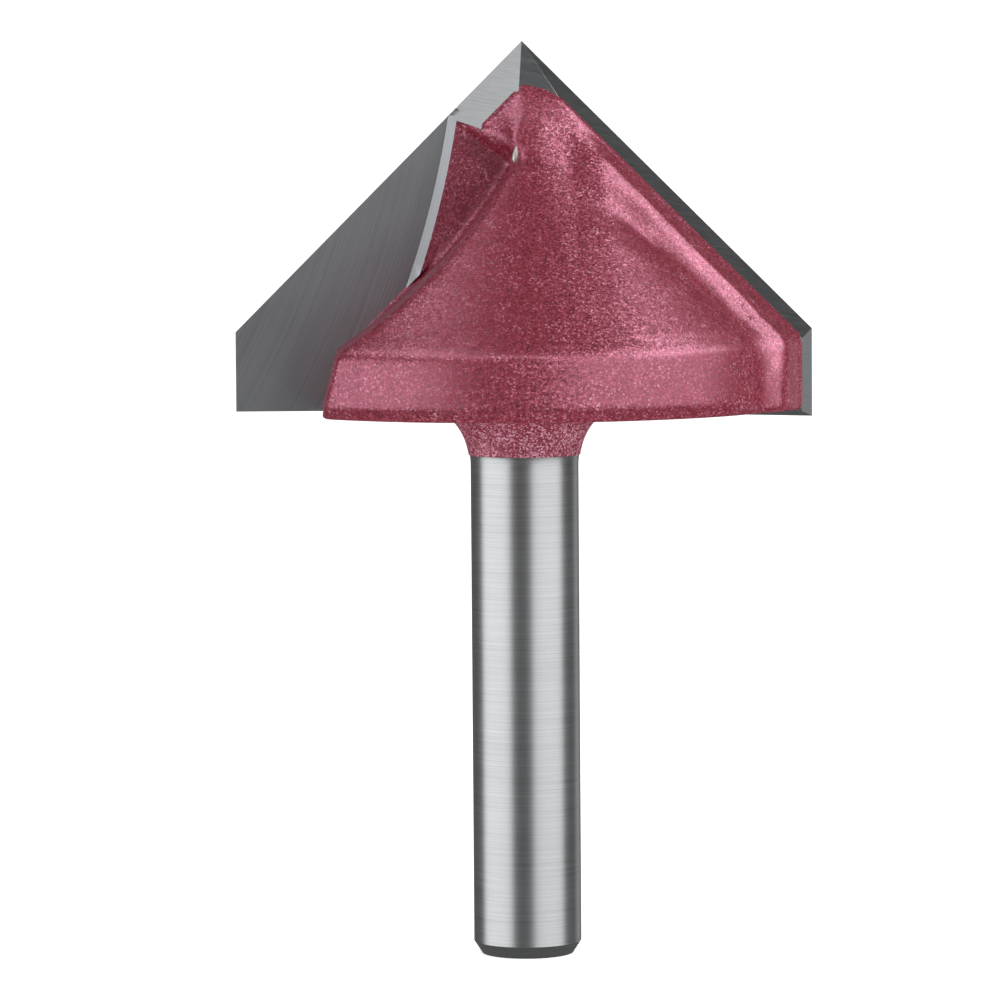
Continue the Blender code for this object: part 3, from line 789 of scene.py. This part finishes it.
painted_head = finish_mesh(skin, "painted_head", crimson)
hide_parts("steel_body")
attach(painted_head, "root")

# %% [markdown]
# ## Bare shank
# Below the paint, the shank is bare steel. It is a turned piece, so its profile is spun round the
# axis. The profile runs up under the paint and has a small bevel at the end of the shank.

# %% Shank
FILLET_STEPS = 8
FILLET_RISE = 1.2 * MM
SPIN_STEPS = 192


def shank_profile():
    """List the (radius, z) points from the centre of the flat end up to the neck."""
    flat_radius = SHANK_RADIUS - SHANK_CHAMFER_WIDTH
    points = [(0.0, 0.0), (flat_radius, 0.0), (SHANK_RADIUS, SHANK_CHAMFER_LENGTH)]
    for step in range(FILLET_STEPS + 1):
        rise = FILLET_RISE * step / FILLET_STEPS
        bulge = NECK_FILLET_RADIUS - sqrt(NECK_FILLET_RADIUS**2 - rise**2)
        points.append((SHANK_RADIUS + bulge, NECK_END + rise))
    return points


def turn_on_axis(points, steps):
    """Spin a profile of (radius, z) points once round the Z axis."""
    shape = bmesh.new()
    verts = [shape.verts.new((radius, 0.0, z)) for radius, z in points]
    edges = [shape.edges.new(pair) for pair in zip(verts, verts[1:])]
    bmesh.ops.spin(
        shape,
        geom=verts + edges,
        cent=(0.0, 0.0, 0.0),
        axis=(0.0, 0.0, 1.0),
        angle=2.0 * pi,
        steps=steps,
        use_merge=True,
    )
    bmesh.ops.remove_doubles(shape, verts=shape.verts, dist=0.001 * MM)
    bmesh.ops.recalc_face_normals(shape, faces=shape.faces)
    return shape


shank_shape = turn_on_axis(shank_profile(), SPIN_STEPS)
bare_shank = finish_mesh(shank_shape, "bare_shank", steel, sharp=25.0)
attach(bare_shank, "root")

# %% [markdown]
# ## Carbide plates
# The plates keep the shape of their solids. Each is copied with whole faces, and its edges get a
# bevel of about a hundredth of a millimetre, because even a sharp ground edge catches a thread of
# light. The wheel that ground the light facet of the tip also touched the pad of the short plate,
# so the pad is cut by the plane of that facet.

# %% Plane of the tip's facet
FACET_SIDE = Vector((-0.525, -0.669, 0.525)).normalized()
FACET_POINT = Vector((0.0, 0.0, OVERALL_LENGTH)) + FACET_SIDE * 0.004 * MM
PAD_TOP = 0.01 * MM - PAD_HEIGHT


def on_facet(x, z):
    """Find the point of the tip's light facet above a place in the cutting plane."""
    depth = (FACET_SIDE.z * (z * MM - OVERALL_LENGTH) + FACET_SIDE.x * x * MM) / -FACET_SIDE.y
    return Vector((x * MM, depth, z * MM))


def grind_pad(shape):
    """Cut the top of a plate's pad at its bare corner, and the pad by the plane of the facet."""
    tops = []
    for face in shape.faces:
        if face.normal.y < -0.999 and face.calc_center_median().y < PAD_TOP:
            tops += [face, *face.edges, *face.verts]
    if tops:
        parts = list(dict.fromkeys(tops))
        bmesh.ops.bisect_plane(shape, geom=parts, plane_co=BARE_CORNER, plane_no=BARE_SIDE)
        cut_away(shape, FACET_POINT, FACET_SIDE)


print("the facet meets the pad at", [round(v / MM, 2) for v in on_facet(-3.6, 47.17)])

# %% [markdown]
# The rake faces were ground by the large wheel, and the relief faces by a flat one, so a plate has
# two finishes. The top of the pad on the short plate takes the paint.

# %% Plates
SHARP_EDGE = 20.0
EDGE_BEVEL = 0.012 * MM


def make_plate(node, name):
    """Copy a plate with crisp, barely bevelled edges."""
    shape = clean_copy(node)
    grind_pad(shape)
    plate = finish_mesh(shape, name, carbide, sharp=SHARP_EDGE)
    plate.data.materials.append(rake)
    for face in plate.data.polygons:
        upright = abs(face.normal.y) > 0.5 and abs(face.normal.z) < 0.4
        if upright and abs(face.center.y) < 0.35 * MM:
            face.material_index = 1
    bevel = plate.modifiers.new("Edges", "BEVEL")
    bevel.width = EDGE_BEVEL
    bevel.segments = 2
    bevel.limit_method = "ANGLE"
    bevel.angle_limit = radians(SHARP_EDGE)
    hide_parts(node)
    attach(plate, "root")
    return plate


long_plate = make_plate("long_insert", "long_carbide")
short_plate = make_plate("short_insert", "short_carbide")
short_plate.data.materials.append(crimson)
for face in short_plate.data.polygons:
    painted_side = (face.center - BARE_CORNER).dot(BARE_SIDE) < 0.0
    if face.center.y < PAD_TOP and face.normal.y < -0.9 and painted_side:
        face.material_index = 2

# %% [markdown]
# ## Braze
# The brazing alloy that ran out of the joint shows as a small drop in the corner of the gullet,
# and as a thin smear at the seam between the plates. The drop is a ball that is drawn out at its
# top.

# %% Drop of braze
DROP_CENTER = (-0.36 * MM, -3.95 * MM, 44.6 * MM)
DROP_LENGTH = 1.1 * MM
DROP_WIDTH = 0.5 * MM
DROP_LEAN = radians(5.0)
DROP_TAPER = 0.75


def make_drop(center, length, width, lean):
    """Shape a round ball into a drop with a drawn-out top, in the plane of the picture."""
    shape = bmesh.new()
    bmesh.ops.create_uvsphere(shape, u_segments=32, v_segments=24, radius=0.5)
    for vert in shape.verts:
        taper = 1.0 - DROP_TAPER * (vert.co.z + 0.5) ** 1.5
        vert.co.x *= taper
        vert.co.y *= taper
    bmesh.ops.scale(shape, verts=shape.verts, vec=(width, width * 0.8, length))
    bmesh.ops.rotate(shape, verts=shape.verts, matrix=Matrix.Rotation(lean, 3, "Y"))
    bmesh.ops.translate(shape, verts=shape.verts, vec=center)
    return shape


drop_shape = make_drop(DROP_CENTER, DROP_LENGTH, DROP_WIDTH, DROP_LEAN)
drop = finish_mesh(drop_shape, "braze_drop", silver)
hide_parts("long_braze", "short_braze")
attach(drop, "root")

# %% [markdown]
# The seam between the plates runs at right angles to the left cutting edge. A thin block is laid
# out along that edge as if it were level, and then turned by 45 degrees about the point.

# %% Seam between the plates
SEAM_ALONG = (5.08 * MM, 5.16 * MM)
SEAM_INWARD = (0.2 * MM, 4.9 * MM)
SEAM_BEHIND = (-0.03 * MM, 0.4 * MM)


def make_seam(along, inward, behind):
    """Fill the seam with a thin block, given the ends of its three sides in edge directions."""
    shape = bmesh.new()
    bmesh.ops.create_cube(shape, size=1.0)
    middle = [(low + high) / 2.0 for low, high in (along, behind, inward)]
    size = [high - low for low, high in (along, behind, inward)]
    bmesh.ops.scale(shape, verts=shape.verts, vec=size)
    bmesh.ops.translate(shape, verts=shape.verts, vec=(-middle[0], middle[1], -middle[2]))
    bmesh.ops.rotate(shape, verts=shape.verts, matrix=Matrix.Rotation(radians(-45.0), 3, "Y"))
    bmesh.ops.translate(shape, verts=shape.verts, vec=(0.0, 0.0, OVERALL_LENGTH))
    return shape


seam_shape = make_seam(SEAM_ALONG, SEAM_INWARD, SEAM_BEHIND)
seam = finish_mesh(seam_shape, "braze_seam", silver, smooth=False)
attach(seam, "root")

# %% [markdown]
# The wheel that ground the facet of the tip ran on over the seam, as far as the ramp. This small
# wedge carries the facet on to there.

# %% Ground corner below the seam
CORNER_DEPTH = 0.3 * MM
CORNER_OUTLINE = ((-3.60, 47.17), (-3.56, 47.05), (-3.64, 46.42), (-2.30, 45.98), (-2.26, 46.02))
wedge = bmesh.new()
for x, z in CORNER_OUTLINE:
    for behind in (0.0, CORNER_DEPTH):
        wedge.verts.new(on_facet(x, z) + Vector((0.0, behind, 0.0)))
bmesh.ops.convex_hull(wedge, input=wedge.verts)
bmesh.ops.recalc_face_normals(wedge, faces=wedge.faces)
ground_corner = finish_mesh(wedge, "ground_corner", carbide, smooth=False)
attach(ground_corner, "root")
